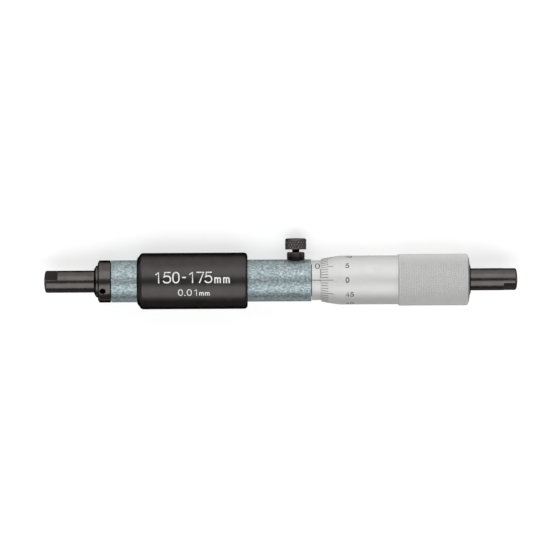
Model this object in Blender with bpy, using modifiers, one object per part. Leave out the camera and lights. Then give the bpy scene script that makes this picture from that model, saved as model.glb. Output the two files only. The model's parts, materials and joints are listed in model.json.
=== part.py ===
"""Tubular inside micrometer for bores of 150 to 175 mm, at its zero reading, lying on a table."""

import math

import bmesh
import bpy
from mathutils import Matrix, Vector

# Lengths along the instrument, from the fixed tip to the moving tip. They add up to 150 mm.
FIXED_ROD = 0.0159
SHANK_NOSE = 0.0012
RING_WIDTH = 0.0039
TUBE_LENGTH = 0.0634
SLEEVE_IN_SIGHT = 0.0031
BEVEL_LENGTH = 0.0060
THIMBLE_BODY = 0.0186
KNURL_LENGTH = 0.0222
NUT_NOSE = 0.0005
MOVING_ROD = 0.0149

# Outer diameters.
ROD_DIAMETER = 0.0070
SHANK_DIAMETER = 0.0101
RING_DIAMETER = 0.0134
TUBE_DIAMETER = 0.0133
SLEEVE_DIAMETER = 0.0126
LIP_DIAMETER = 0.0135
THIMBLE_DIAMETER = 0.0155
KNURL_DIAMETER = 0.0164
NUT_DIAMETER = 0.0110
NUT_NOSE_DIAMETER = 0.0084
ADJUSTER_DIAMETER = 0.0120

# The micrometer screw and its range of travel.
TRAVEL = 0.0250
SPINDLE_DIAMETER = 0.0065
SPINDLE_PAST_CLAMP = 0.0052
THREAD_DIAMETER = 0.0063
RELIEF_DEPTH = 0.0003
RELIEF_LENGTH = 0.0010
COLLAR_DIAMETER = 0.0088
COLLAR_LENGTH = 0.0017
TAPER_LENGTH = 0.0037
TAPER_DROP = 0.0008
NUT_THREAD_DIAMETER = 0.0068
NUT_THREAD_LENGTH = 0.0030
STUD_DIAMETER = 0.0032
STUD_LENGTH = 0.0077

# Lengths of the pieces inside, and where the grip and the clamp sit on the tube.
SHANK_LENGTH = 0.0170
STEM_OVERLAP = 0.0167
STEM_PROUD = 0.0009
SCREW_NUT_LENGTH = 0.0140
SPLIT_LENGTH = 0.0125
SLIT_WIDTH = 0.0006
SLIT_COUNT = 3
STEM_TAPER_STEP = 0.0001
STEM_TAPER_DROP = 0.0003
ADJUSTER_LENGTH = 0.0048
WEB_CLEARANCE = 0.0029
NUT_DEPTH = 0.0045
GRIP_LENGTH = 0.0350
GRIP_WALL = 0.0021
GRIP_FROM_TUBE_END = 0.0082
CLAMP_FROM_TUBE_END = 0.0049

# The clamp, measured outwards from the instrument's axis.
BUSH_DIAMETER = 0.0056
BUSH_TAIL_DIAMETER = 0.0040
BUSH_TOP = 0.00898
CLAMP_SHANK_DIAMETER = 0.0024
HEAD_CLEARANCE = 0.0008
HEAD_DIAMETER = 0.0066
HEAD_HEIGHT = 0.0035
HEAD_EDGE = 0.0004
HEAD_CROWN = 0.0001
PAD_LENGTH = 0.0010
HEAD_KNURL_COUNT = 22
HEAD_KNURL_ROWS = 4
HEAD_KNURL_DEPTH = 0.00022

# The hard contact tips, the rod ends around them and their wrench flats.
TIP_DIAMETER = 0.0044
TIP_LENGTH = 0.0030
TIP_SPHERE = 0.0120
ROD_CHAMFER = 0.0004
FLATS_ACROSS = 0.00545
FLATS_LENGTH = 0.0044
FIXED_FLAT_ANGLE = math.radians(47)
MOVING_FLAT_ANGLE = math.radians(-60)

# Edges, holes and slots.
SMALL_CHAMFER = 0.0003
SHANK_CHAMFER = (0.0007, 0.00115)
RING_CHAMFER = (0.00055, 0.00095)
GRIP_CHAMFER = 0.00175
GRIP_ROUNDING = (0.0009, 0.0012)
KNURL_ROUNDING = (0.0009, 0.0008)
KNURL_STEP = 0.0003
SPANNER_HOLE = 0.0020
SPANNER_HOLE_FROM_FACE = 0.0016
SPANNER_HOLE_ANGLE = math.radians(-28)
SPANNER_SLOT = 0.0010
RECESS_RIM = 0.0003
BEVEL_SHAPE = ((1, 1), (0.8, 0.88), (0.5, 0.58), (0, 0))

# Clearances: between turned surfaces, and between faces that meet.
FIT = 0.0002
GAP = 0.0003

# Facets around large and small pieces, and along a rounded edge.
ROUND_STEPS = 48
SMALL_STEPS = 32
EDGE_STEPS = 3
SHARP_ANGLE = math.radians(25)
SAME_PLACE = 0.000001

# Stations along the instrument, counted from the fixed tip.
RING_AT = FIXED_ROD + SHANK_NOSE
TUBE_AT = RING_AT + RING_WIDTH + GAP
TUBE_END = TUBE_AT + TUBE_LENGTH
GRIP_AT = TUBE_AT + GRIP_FROM_TUBE_END
CLAMP_AT = TUBE_END - CLAMP_FROM_TUBE_END
SLEEVE_AT = TUBE_END + GAP
LIP_AT = TUBE_END + SLEEVE_IN_SIGHT
BODY_AT = LIP_AT + BEVEL_LENGTH
KNURL_AT = BODY_AT + THIMBLE_BODY
KNURL_END = KNURL_AT + KNURL_LENGTH
NUT_END = KNURL_END + NUT_NOSE
LENGTH = NUT_END + MOVING_ROD
TAPER_END = KNURL_END - NUT_DEPTH
TAPER_AT = TAPER_END - TAPER_LENGTH
WEB_AT = TAPER_AT - COLLAR_LENGTH - GAP
STEM_END = WEB_AT - WEB_CLEARANCE
ADJUSTER_AT = STEM_END - STEM_PROUD - ADJUSTER_LENGTH
SLEEVE_END = ADJUSTER_AT - GAP
SPINDLE_END = TAPER_END + NUT_THREAD_LENGTH
ROD_SEAT = SPINDLE_END + GAP

# Radii that follow from the sizes above.
GRIP_BORE = TUBE_DIAMETER / 2 + FIT
GRIP = GRIP_BORE + GRIP_WALL
BORE = SHANK_DIAMETER / 2 + FIT
STEM = BORE - FIT
SPINDLE = SPINDLE_DIAMETER / 2
GUIDE = SPINDLE + FIT
THREAD = THREAD_DIAMETER / 2
STEM_TAPER = STEM - STEM_TAPER_STEP
COLLAR = COLLAR_DIAMETER / 2
ROD = ROD_DIAMETER / 2
RECESS = TIP_DIAMETER / 2 + FIT

# Distances of the clamp's pieces from the instrument's axis.
BUSH_SEAT = STEM + GAP
BUSH_FOOT = GUIDE + GAP
PAD_AT = SPINDLE + GAP
SCREW_AT = PAD_AT + PAD_LENGTH + GAP
HEAD_AT = BUSH_TOP + HEAD_CLEARANCE
HEAD_TOP = HEAD_AT + HEAD_HEIGHT


def resting_angle():
    """How far below level the clamp points when its rounded head and the grip both touch the table."""
    out = HEAD_TOP - HEAD_EDGE
    side = HEAD_DIAMETER / 2 - HEAD_EDGE
    height = GRIP - HEAD_EDGE
    return math.asin(height / math.hypot(out, side)) - math.atan2(side, out)


def laid_down():
    """Places the upright model: its length along +X, the clamp leaning to +Y and down to the table."""
    dip = resting_angle()
    clamp_way = Vector((0, math.cos(dip), -math.sin(dip)))
    datum_way = Vector((0, math.sin(dip), math.cos(dip)))
    along = Vector((1, 0, 0))
    turn = Matrix((clamp_way, datum_way, along)).transposed().to_4x4()
    reach = HEAD_TOP * math.cos(dip) - HEAD_EDGE * (math.cos(dip) + math.sin(dip) - 1)
    reach += HEAD_DIAMETER / 2 * math.sin(dip)
    middle = (reach - GRIP) / 2
    place = Matrix.Translation((0, -middle, GRIP))
    return place @ turn @ Matrix.Translation((0, 0, -LENGTH / 2))


def clear_scene():
    for obj in list(bpy.data.objects):
        bpy.data.objects.remove(obj)


def new_collection(name):
    collection = bpy.data.collections.new(name)
    bpy.context.scene.collection.children.link(collection)
    return collection


clear_scene()
PARTS = new_collection("inside_micrometer")
CUTTERS = new_collection("cutters")
LAID = laid_down()
ACROSS = Matrix.Translation((0, 0, CLAMP_AT)) @ Matrix.Rotation(math.pi / 2, 4, "Y")


def finish(obj, colour, metallic, roughness):
    material = bpy.data.materials.new(obj.name + "_finish")
    material.use_nodes = True
    shader = material.node_tree.nodes["Principled BSDF"]
    shader.inputs["Base Color"].default_value = (*colour, 1)
    shader.inputs["Metallic"].default_value = metallic
    shader.inputs["Roughness"].default_value = roughness
    obj.data.materials.append(material)


def satin_chrome(obj):
    finish(obj, (0.78, 0.78, 0.76), 1.0, 0.30)


def ground_steel(obj):
    finish(obj, (0.58, 0.58, 0.57), 1.0, 0.22)


def black_steel(obj):
    finish(obj, (0.030, 0.028, 0.028), 0.6, 0.32)


def hard_metal(obj):
    finish(obj, (0.30, 0.30, 0.30), 1.0, 0.20)


def chamfer(face, radius, run, drop=None, parts=1):
    """An edge from the end face at `face` to the cylinder. A negative run is for a left-hand end."""
    drop = abs(run) if drop is None else drop
    turns = [math.pi / 2 * part / parts for part in range(parts + 1)]
    points = [(face - run * (1 - math.cos(t)), radius - drop * (1 - math.sin(t))) for t in turns]
    return points if run > 0 else points[::-1]


def apply_modifiers(obj):
    """Keeps what the modifiers make as the object's own mesh, smooth between its sharp edges."""
    evaluated = obj.evaluated_get(bpy.context.evaluated_depsgraph_get())
    made = bpy.data.meshes.new_from_object(evaluated)
    made.name = obj.name
    obj.modifiers.clear()
    obj.data = made
    made.shade_smooth()
    made.set_sharp_from_angle(angle=SHARP_ANGLE)


def turned(name, path, at, steps=ROUND_STEPS, frame=Matrix()):
    """A turned piece whose origin is on its axis at `at`.

    The path lists (along, radius) from the right end down the outer side, and back through the bore.
    One that starts on the axis also ends there.
    """
    profile = bpy.data.meshes.new(name)
    outline = bmesh.new()
    verts = [outline.verts.new((radius, 0, along - at)) for along, radius in path]
    for one, other in zip(verts, verts[1:]):
        outline.edges.new((one, other))
    if path[0][1] > 0:
        outline.edges.new((verts[-1], verts[0]))
    outline.to_mesh(profile)
    outline.free()
    obj = bpy.data.objects.new(name, profile)
    PARTS.objects.link(obj)
    obj.matrix_world = LAID @ frame @ Matrix.Translation((0, 0, at))
    screw = obj.modifiers.new("turn", "SCREW")
    screw.steps = steps
    screw.render_steps = steps
    screw.use_merge_vertices = True
    screw.merge_threshold = 0.00001
    apply_modifiers(obj)
    return obj


def toward(angle):
    """Turns +X to a direction that many radians above the datum line, on the clamp's side."""
    return Matrix.Rotation(math.pi / 2 - angle, 4, "Z")


def cut(obj, shape, place):
    """Cuts a shape, given as a bmesh, out of the object. The place is in the upright model."""
    mesh = bpy.data.meshes.new(obj.name + "_cut")
    shape.to_mesh(mesh)
    shape.free()
    cutter = bpy.data.objects.new(obj.name + "_cut", mesh)
    CUTTERS.objects.link(cutter)
    cutter.matrix_world = LAID @ place
    cutter.display_type = "WIRE"
    cutter.hide_render = True
    boolean = obj.modifiers.new("cut", "BOOLEAN")
    boolean.operation = "DIFFERENCE"
    boolean.solver = "EXACT"
    boolean.object = cutter
    bpy.context.view_layer.update()
    apply_modifiers(obj)


def block(length, width, height):
    shape = bmesh.new()
    bmesh.ops.create_cube(shape, size=1, matrix=Matrix.Diagonal((length, width, height, 1)))
    return shape


def drill(radius, near, far):
    """A round cutter along +X from `near` to `far`."""
    shape = bmesh.new()
    place = Matrix.Translation(((near + far) / 2, 0, 0)) @ Matrix.Rotation(math.pi / 2, 4, "Y")
    bmesh.ops.create_cone(
        shape, cap_ends=True, segments=SMALL_STEPS, radius1=radius, radius2=radius,
        depth=far - near, matrix=place,
    )
    return shape


def dome(radius):
    """How far the ball-shaped contact face falls back from the tip at this radius."""
    return TIP_SPHERE - math.sqrt(TIP_SPHERE ** 2 - radius ** 2)


def rod_end():
    """A rod's end as (distance from the tip, radius), from its side to the bottom of the tip's recess."""
    face = ROD - ROD_CHAMFER
    floor = TIP_LENGTH + GAP
    return [
        (dome(face) + ROD_CHAMFER, ROD),
        (dome(face), face),
        (dome(RECESS), RECESS),
        (floor, RECESS),
        (floor, 0),
    ]


def tip_outline():
    """A contact tip as (distance from the tip, radius), from its back to the ball-shaped face."""
    radius = TIP_DIAMETER / 2
    rings = [radius * part / EDGE_STEPS for part in range(EDGE_STEPS, -1, -1)]
    return [(TIP_LENGTH, 0), (TIP_LENGTH, radius)] + [(dome(ring), ring) for ring in rings]


def mirrored(outline):
    """Turns an outline measured from the fixed tip into one measured from the moving tip."""
    return [(LENGTH - along, radius) for along, radius in reversed(outline)]


def cut_flats(obj, centre, angle):
    """Two parallel wrench flats at a rod's end."""
    for side in (1, -1):
        offset = side * (FLATS_ACROSS / 2 + ROD)
        shape = block(2 * ROD, 3 * ROD, FLATS_LENGTH)
        cut(obj, shape, Matrix.Translation((0, 0, centre)) @ toward(angle)
            @ Matrix.Translation((offset, 0, 0)))


def knurl(obj, first, last, radius):
    """Crossed grooves round a cylinder: every second point sinks, and grooves join the sunk points."""
    shape = bmesh.new()
    shape.from_mesh(obj.data)
    row_height = (last - first) / HEAD_KNURL_ROWS
    step = math.pi / HEAD_KNURL_COUNT
    sunk = set()
    band = set()
    for vert in shape.verts:
        if radius - vert.co.xy.length > SAME_PLACE:
            continue
        row = round((vert.co.z - first) / row_height)
        band.add(vert)
        if (row + round(math.atan2(vert.co.y, vert.co.x) / step)) % 2:
            sunk.add(vert)
    for vert in sunk:
        vert.co.xy *= 1 - HEAD_KNURL_DEPTH / radius
    for face in [face for face in shape.faces if band.issuperset(face.verts)]:
        low = [vert for vert in face.verts if vert in sunk]
        if len(low) == 2:
            bmesh.utils.face_split(face, *low)
    shape.to_mesh(obj.data)
    shape.free()
    obj.data.set_sharp_from_angle(angle=SHARP_ANGLE)


def build_fixed_rod():
    shank = SHANK_DIAMETER / 2
    shank_end = RING_AT + SHANK_LENGTH
    path = [(shank_end, 0)]
    path += chamfer(shank_end, shank, SMALL_CHAMFER)
    path += chamfer(FIXED_ROD, shank, -SHANK_CHAMFER[0], SHANK_CHAMFER[1])
    path += [(FIXED_ROD, ROD)]
    path += rod_end()
    rod = turned("fixed_anvil", path, FIXED_ROD, SMALL_STEPS)
    cut_flats(rod, FLATS_LENGTH / 2, FIXED_FLAT_ANGLE)
    black_steel(rod)
    hard_metal(turned("fixed_tip", tip_outline(), 0, SMALL_STEPS))


def build_lock_ring():
    radius = RING_DIAMETER / 2
    end = RING_AT + RING_WIDTH
    path = [(end, BORE)]
    path += chamfer(end, radius, SMALL_CHAMFER)
    path += chamfer(RING_AT, radius, -RING_CHAMFER[0], RING_CHAMFER[1])
    path += [(RING_AT, BORE)]
    ring = turned("lock_ring", path, RING_AT)
    middle = Matrix.Translation((0, 0, RING_AT + SPANNER_HOLE_FROM_FACE))
    cut(ring, drill(SPANNER_HOLE / 2, -radius - GAP, radius + GAP), middle @ toward(SPANNER_HOLE_ANGLE))
    black_steel(ring)


def build_tube():
    radius = TUBE_DIAMETER / 2
    path = [(TUBE_END, BORE)]
    path += chamfer(TUBE_END, radius, SMALL_CHAMFER)
    path += chamfer(TUBE_AT, radius, -SMALL_CHAMFER)
    path += [(TUBE_AT, BORE)]
    tube = turned("frame_tube", path, TUBE_AT)
    cut(tube, drill(BUSH_DIAMETER / 2 + FIT, 0, radius + GAP), Matrix.Translation((0, 0, CLAMP_AT)))
    finish(tube, (0.27, 0.34, 0.36), 0.0, 0.45)


def build_grip():
    end = GRIP_AT + GRIP_LENGTH
    path = [(end, GRIP_BORE)]
    path += chamfer(end, GRIP, *GRIP_ROUNDING, EDGE_STEPS)
    path += chamfer(GRIP_AT, GRIP, -GRIP_CHAMFER)
    path += [(GRIP_AT, GRIP_BORE)]
    grip = turned("grip", path, GRIP_AT)
    finish(grip, (0.030, 0.029, 0.030), 0.0, 0.50)


def build_stem():
    """The inner sleeve: pressed into the tube, it guides the spindle and ends in the split screw nut."""
    start = TUBE_END - STEM_OVERLAP
    nut_bore = THREAD + FIT
    nut_at = STEM_END - SCREW_NUT_LENGTH
    path = [(STEM_END, nut_bore), (STEM_END, STEM_TAPER - STEM_TAPER_DROP)]
    path += [(SLEEVE_END, STEM_TAPER), (SLEEVE_END, STEM)]
    path += chamfer(start, STEM, -SMALL_CHAMFER)
    path += [(start, GUIDE), (nut_at, GUIDE), (nut_at, nut_bore)]
    stem = turned("inner_sleeve", path, start)
    cut(stem, drill(BUSH_TAIL_DIAMETER / 2 + FIT, 0, STEM + GAP), Matrix.Translation((0, 0, CLAMP_AT)))
    for count in range(SLIT_COUNT):
        place = Matrix.Translation((0, 0, STEM_END - SPLIT_LENGTH / 2 + GAP / 2))
        place @= Matrix.Rotation(math.pi + math.tau * count / SLIT_COUNT, 4, "Z")
        cut(stem, block(STEM, SLIT_WIDTH, SPLIT_LENGTH + GAP),
            place @ Matrix.Translation((STEM, 0, 0)))
    ground_steel(stem)


def build_scale_sleeve():
    radius = SLEEVE_DIAMETER / 2
    path = [(SLEEVE_END, BORE)]
    path += chamfer(SLEEVE_END, radius, SMALL_CHAMFER)
    path += [(SLEEVE_AT, radius), (SLEEVE_AT, BORE)]
    satin_chrome(turned("scale_sleeve", path, SLEEVE_AT))


def build_adjusting_nut():
    """A tapered nut on the split end of the inner sleeve. It takes up wear in the screw."""
    radius = ADJUSTER_DIAMETER / 2
    end = ADJUSTER_AT + ADJUSTER_LENGTH

    def bore(along):
        return STEM_TAPER - STEM_TAPER_DROP * (along - SLEEVE_END) / (STEM_END - SLEEVE_END) + FIT

    path = [(end, bore(end))]
    path += chamfer(end, radius, SMALL_CHAMFER)
    path += chamfer(ADJUSTER_AT, radius, -SMALL_CHAMFER)
    path += [(ADJUSTER_AT, bore(ADJUSTER_AT))]
    nut = turned("adjusting_nut", path, ADJUSTER_AT)
    cut(nut, block(ADJUSTER_DIAMETER * 2, SPANNER_SLOT, SPANNER_SLOT * 2),
        Matrix.Translation((0, 0, end)))
    ground_steel(nut)


def build_spindle():
    start = CLAMP_AT - TRAVEL - SPINDLE_PAST_CLAMP
    plain_end = CLAMP_AT + BUSH_TAIL_DIAMETER / 2 + GAP
    thread_at = plain_end + RELIEF_LENGTH
    collar_at = TAPER_AT - COLLAR_LENGTH
    thread_end = collar_at - RELIEF_LENGTH
    relief = THREAD - RELIEF_DEPTH
    stud_hole = STUD_DIAMETER / 2 + FIT
    hole_end = ROD_SEAT - STUD_LENGTH - GAP
    path = [(hole_end, 0), (hole_end, stud_hole), (SPINDLE_END, stud_hole)]
    path += [(SPINDLE_END, NUT_THREAD_DIAMETER / 2), (TAPER_END, NUT_THREAD_DIAMETER / 2)]
    path += [(TAPER_END, COLLAR - TAPER_DROP), (TAPER_AT, COLLAR), (collar_at, COLLAR)]
    path += [(collar_at, relief), (thread_end, relief), (thread_end, THREAD)]
    path += [(thread_at, THREAD), (thread_at, relief), (plain_end, relief), (plain_end, SPINDLE)]
    path += chamfer(start, SPINDLE, -SMALL_CHAMFER)
    path += [(start, 0)]
    ground_steel(turned("spindle", path, start, SMALL_STEPS))


def build_thimble():
    lip = LIP_DIAMETER / 2
    body = THIMBLE_DIAMETER / 2
    rim = KNURL_DIAMETER / 2
    bore = SLEEVE_DIAMETER / 2 + FIT
    collar_bore = COLLAR + FIT
    recess = NUT_DIAMETER / 2 + FIT
    path = [(TAPER_END, recess), (KNURL_END + RECESS_RIM, recess)]
    path += chamfer(KNURL_END, rim, *KNURL_ROUNDING, EDGE_STEPS)
    path += [(KNURL_AT + KNURL_STEP, rim), (KNURL_AT, body)]
    for share, rise in BEVEL_SHAPE:
        path.append((LIP_AT + BEVEL_LENGTH * share, lip + (body - lip) * rise))
    path += [(LIP_AT, bore), (WEB_AT, bore), (WEB_AT, collar_bore)]
    path += [(TAPER_AT, collar_bore), (TAPER_END, collar_bore - TAPER_DROP)]
    satin_chrome(turned("thimble", path, LIP_AT))


def build_thimble_nut():
    """The end nut holds the thimble on the spindle's taper. The moving rod comes out through it."""
    radius = NUT_DIAMETER / 2
    bore = ROD + FIT
    start = TAPER_END + GAP
    path = [(NUT_END, bore), (NUT_END, NUT_NOSE_DIAMETER / 2), (KNURL_END, radius)]
    path += [(start, radius), (start, bore)]
    nut = turned("thimble_nut", path, start)
    cut(nut, block(NUT_DIAMETER * 2, SPANNER_SLOT, SPANNER_SLOT * 2), Matrix.Translation((0, 0, NUT_END)))
    black_steel(nut)


def build_moving_rod():
    stud = STUD_DIAMETER / 2
    stud_end = ROD_SEAT - STUD_LENGTH
    path = mirrored(rod_end())
    path += [(ROD_SEAT, ROD), (ROD_SEAT, stud), (stud_end, stud), (stud_end, 0)]
    rod = turned("moving_anvil", path, ROD_SEAT, SMALL_STEPS)
    cut_flats(rod, LENGTH - FLATS_LENGTH / 2, MOVING_FLAT_ANGLE)
    black_steel(rod)
    hard_metal(turned("moving_tip", mirrored(tip_outline()), LENGTH, SMALL_STEPS))


def build_clamp():
    """The spindle clamp: a bush through the tube's wall, a knurled screw and a brass pad."""
    bush = BUSH_DIAMETER / 2
    tail = BUSH_TAIL_DIAMETER / 2
    shank = CLAMP_SHANK_DIAMETER / 2
    bore = shank + FIT
    path = [(BUSH_TOP, bore)]
    path += chamfer(BUSH_TOP, bush, HEAD_EDGE, HEAD_EDGE, EDGE_STEPS)
    path += [(BUSH_SEAT, bush), (BUSH_SEAT, tail), (BUSH_FOOT, tail), (BUSH_FOOT, bore)]
    black_steel(turned("clamp_bush", path, 0, SMALL_STEPS, ACROSS))

    head = HEAD_DIAMETER / 2
    first = HEAD_AT + HEAD_EDGE
    last = HEAD_TOP - HEAD_EDGE
    rows = [last + (first - last) * row / HEAD_KNURL_ROWS for row in range(1, HEAD_KNURL_ROWS)]
    path = [(HEAD_TOP + HEAD_CROWN, 0)]
    path += chamfer(HEAD_TOP, head, HEAD_EDGE, HEAD_EDGE, EDGE_STEPS)
    path += [(row, head) for row in rows]
    path += chamfer(HEAD_AT, head, -HEAD_EDGE)
    path += [(HEAD_AT, shank), (SCREW_AT, shank), (SCREW_AT, 0)]
    screw = turned("clamp_screw", path, 0, 2 * HEAD_KNURL_COUNT, ACROSS)
    knurl(screw, first, last, head)
    black_steel(screw)

    pad_end = PAD_AT + PAD_LENGTH
    path = [(pad_end, 0), (pad_end, shank), (PAD_AT, shank), (PAD_AT, 0)]
    pad = turned("clamp_pad", path, 0, SMALL_STEPS, ACROSS)
    finish(pad, (0.62, 0.45, 0.20), 1.0, 0.30)


build_fixed_rod()
build_lock_ring()
build_tube()
build_grip()
build_stem()
build_scale_sleeve()
build_adjusting_nut()
build_spindle()
build_thimble()
build_thimble_nut()
build_moving_rod()
build_clamp()
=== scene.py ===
"""A tubular inside micrometer, dressed over its CAD frame and lying on a pale table.

Pieces are modelled in millimetres: x runs along the instrument from the fixed tip, y points the way of
the clamp, and z is the side that carries the datum line. PLACE then lays each one down.
"""

import json
import math

import bmesh
import bpy
from mathutils import Matrix, Vector


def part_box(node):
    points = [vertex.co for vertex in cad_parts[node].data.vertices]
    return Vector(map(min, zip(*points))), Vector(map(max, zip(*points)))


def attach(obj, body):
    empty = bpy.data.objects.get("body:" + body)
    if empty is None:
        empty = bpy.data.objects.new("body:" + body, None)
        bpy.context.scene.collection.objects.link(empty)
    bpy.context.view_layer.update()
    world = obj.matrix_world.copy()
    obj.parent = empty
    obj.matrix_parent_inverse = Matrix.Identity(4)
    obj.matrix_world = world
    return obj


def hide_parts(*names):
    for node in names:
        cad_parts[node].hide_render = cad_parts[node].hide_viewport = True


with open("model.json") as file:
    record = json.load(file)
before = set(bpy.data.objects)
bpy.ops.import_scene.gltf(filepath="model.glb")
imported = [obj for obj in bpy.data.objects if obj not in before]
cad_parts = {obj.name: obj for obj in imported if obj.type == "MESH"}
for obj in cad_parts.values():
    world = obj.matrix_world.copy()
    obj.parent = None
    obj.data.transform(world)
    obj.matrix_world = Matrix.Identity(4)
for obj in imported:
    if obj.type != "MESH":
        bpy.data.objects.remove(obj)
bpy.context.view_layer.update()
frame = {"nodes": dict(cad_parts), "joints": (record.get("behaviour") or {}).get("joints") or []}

# The instrument's own directions and its place, read from the frame.
JOINTS = {joint["name"]: joint for joint in frame["joints"]}
ALONG = Vector((1, 0, 0))
CLAMP_WAY = -Vector(JOINTS["clamp_turn"]["axis"]).normalized()
DATUM_WAY = ALONG.cross(CLAMP_WAY)
AXIS = Vector(JOINTS["thimble_turn"]["pos_m"])
AXIS.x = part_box("fixed_tip")[0].x
LAID = Matrix((ALONG, CLAMP_WAY, DATUM_WAY)).transposed().to_4x4()
PLACE = Matrix.Translation(AXIS) @ LAID @ Matrix.Scale(0.001, 4)

# Stations in millimetres from the fixed tip.
SHOULDER = 15.9
RING = 17.1
SPANNER_HOLE = 18.7
RING_END = 21.15
TUBE = 21.3
GRIP = 29.5
GRIP_END = 64.5
CLAMP = 79.8
TUBE_END = 84.7
SLEEVE = 84.85
ZERO = 87.6
LIP = 87.8
KNURL = 112.1
SLEEVE_END = 115.5
BORE_END = 124.4
TAPER = 126.4
TAPER_END = 130.1
NUT = 130.4
SPINDLE_END = 133.1
MOVING_ROD = 133.4
KNURL_END = 134.6
NUT_END = 135.1
LENGTH = 150.0

# Stations in millimetres along the clamp's axis, counted from the instrument's.
PAD = 3.55
BUSH = 3.75
PAD_TOP = 4.55
SCREW = 4.85
BUSH_SEAT = 5.35
BUSH_FOOT = 7.5
BUSH_TOP = 8.98
HEAD = 9.78
HEAD_KNURL = 10.16
HEAD_KNURL_TOP = 12.46
HEAD_TOP = 13.28

# Lengths in millimetres.
TRAVEL = 25
BEVEL = 6.0
TIP_LENGTH = 3.0
TIP_SEAT = 3.3
FLAT_LENGTH = 4.4
HEAD_EDGE = 0.7

# Outer radii in millimetres.
ROD_R = 3.5
SHANK_R = 5.05
RING_R = 6.7
TUBE_R = 6.65
GRIP_R = 8.93
SLEEVE_R = 6.3
LIP_R = 6.75
BODY_R = 7.75
KNURL_R = 8.2
NUT_R = 5.5
TIP_R = 2.2
FACE_R = 3.1
TIP_SPHERE = 12.0
BUSH_R = 2.8
SCREW_R = 1.2
HEAD_R = 3.38

# Bores, as radii in millimetres.
RING_BORE = 5.12
TUBE_BORE = 5.15
GRIP_BORE = 6.75
SLEEVE_BORE = 5.12
THIMBLE_BORE = 6.5
LIP_BORE = 6.38
RECESS_BORE = 5.6
NUT_BORE = 3.6
BUSH_HOLE = 2.86
BUSH_BORE = 1.3
SPANNER_BORE = 1.0
SEAT_BORE = 2.25

# How far a wrench flat lies from its rod's axis, and the way that each rod's flats look, in degrees
# above the datum line. The spanner holes have such a way too.
FLAT_OUT = 2.725
FIXED_FLATS = 47
MOVING_FLATS = -60
SPANNER_WAY = -28

# Fine work: rounded corners, threads and knurls. Angles are in degrees.
SHARP_FROM = 32
EASED_FROM = 35
HOLD = 0.12
LONG_SIDE = 6
ARC_STEPS = 4
SHARED_SIDE = 0.45
WHOLE_SIDE = 0.9
MERGED = 0.0005
ON_SURFACE = 0.02
DRILL_SIDES = 64
THREAD_STEPS = 8
FINE_PITCH = 0.5
CLAMP_PITCH = 0.45
KNURL_COUNT = 66
KNURL_PITCH = 0.78
KNURL_DEPTH = 0.16
KNURL_ROWS = 81
HEAD_KNURL_COUNT = 22
HEAD_KNURL_PITCH = 1.46
HEAD_KNURL_DEPTH = 0.2
HEAD_KNURL_ROWS = 23
BEVEL_CROWN = 0.3

# Marks: graduation lines, figures and the print on the grip. The oval's step is in degrees.
MARK_WIDTH = 0.16
DATUM_WIDTH = 0.2
MARK_SUNK = 0.05
MARK_PROUD = 0.012
MARK_MERGED = 0.00001
OVAL_POWER = 2.5
OVAL_STEP = 15
STROKE_END = 0.4
NARROW = 0.6
PRINT_STROKE = 0.41
FINE_STROKE = 0.28
SCALE_STROKE = 0.3
DIVISIONS = 50
NUMBERED = 5

# Turns a piece made along x so that it stands on the clamp's own axis.
STAND = Matrix.Translation((CLAMP, 0, 0)) @ Matrix(((0, 0, 1), (1, 0, 0), (0, 1, 0))).to_4x4()


# Shapes.

def softened(corners, closed):
    """Points of an outline given as (along, radius, rounding) corners.

    A rounded corner becomes a small arc, which may take up nearly the whole of a side, or nearly half
    of one that has an arc at its other end too. Long sides get a point close to each corner, which
    keeps the light even on them.
    """
    points = []
    for index, (along, radius, rounding) in enumerate(corners):
        here = Vector((along, radius))
        if not closed and index in (0, len(corners) - 1):
            points.append(here)
            continue
        reach = rounding
        ways = []
        for other in (corners[index - 1], corners[(index + 1) % len(corners)]):
            way = Vector(other[:2]) - here
            reach = min(reach, (SHARED_SIDE if other[2] else WHOLE_SIDE) * way.length)
            ways.append(way)
        before, after = ways
        start = here + before.normalized() * reach
        end = here + after.normalized() * reach
        if before.length > LONG_SIDE * (reach + HOLD):
            points.append(here + before.normalized() * (reach + HOLD))
        if reach:
            for step in range(ARC_STEPS + 1):
                share = step / ARC_STEPS
                bend = here * 2 * share * (1 - share)
                points.append(start * (1 - share) ** 2 + bend + end * share ** 2)
        else:
            points.append(here)
        if after.length > LONG_SIDE * (reach + HOLD):
            points.append(here + after.normalized() * (reach + HOLD))
    return points


def steps_between(start, end, count, radius):
    """Plain outline corners in even steps along a cylinder, both ends included."""
    return [(start + (end - start) * step / count, radius, 0) for step in range(count + 1)]


def thread_rows(start, end, radius, pitch):
    """Plain outline corners close enough together to take a thread."""
    return steps_between(start, end, round(abs(end - start) / pitch * THREAD_STEPS), radius)


def turned(corners, steps, closed=True):
    """A body turned about x. An outline that isn't closed starts and ends on the axis."""
    shape = bmesh.new()
    verts = [shape.verts.new((point.x, point.y, 0)) for point in softened(corners, closed)]
    ring = verts + verts[:1] if closed else verts
    edges = [shape.edges.new(pair) for pair in zip(ring, ring[1:])]
    bmesh.ops.spin(
        shape, geom=verts + edges, cent=(0, 0, 0), axis=(1, 0, 0), dvec=(0, 0, 0),
        angle=math.tau, steps=steps, use_merge=True,
    )
    bmesh.ops.remove_doubles(shape, verts=shape.verts, dist=MERGED)
    bmesh.ops.recalc_face_normals(shape, faces=shape.faces)
    return shape


def bench_object(shape):
    """Puts a shape on the bench as a plain object, for a modifier to work on."""
    mesh = bpy.data.meshes.new("blank")
    shape.to_mesh(mesh)
    shape.free()
    obj = bpy.data.objects.new("blank", mesh)
    bpy.context.scene.collection.objects.link(obj)
    return obj


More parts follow.
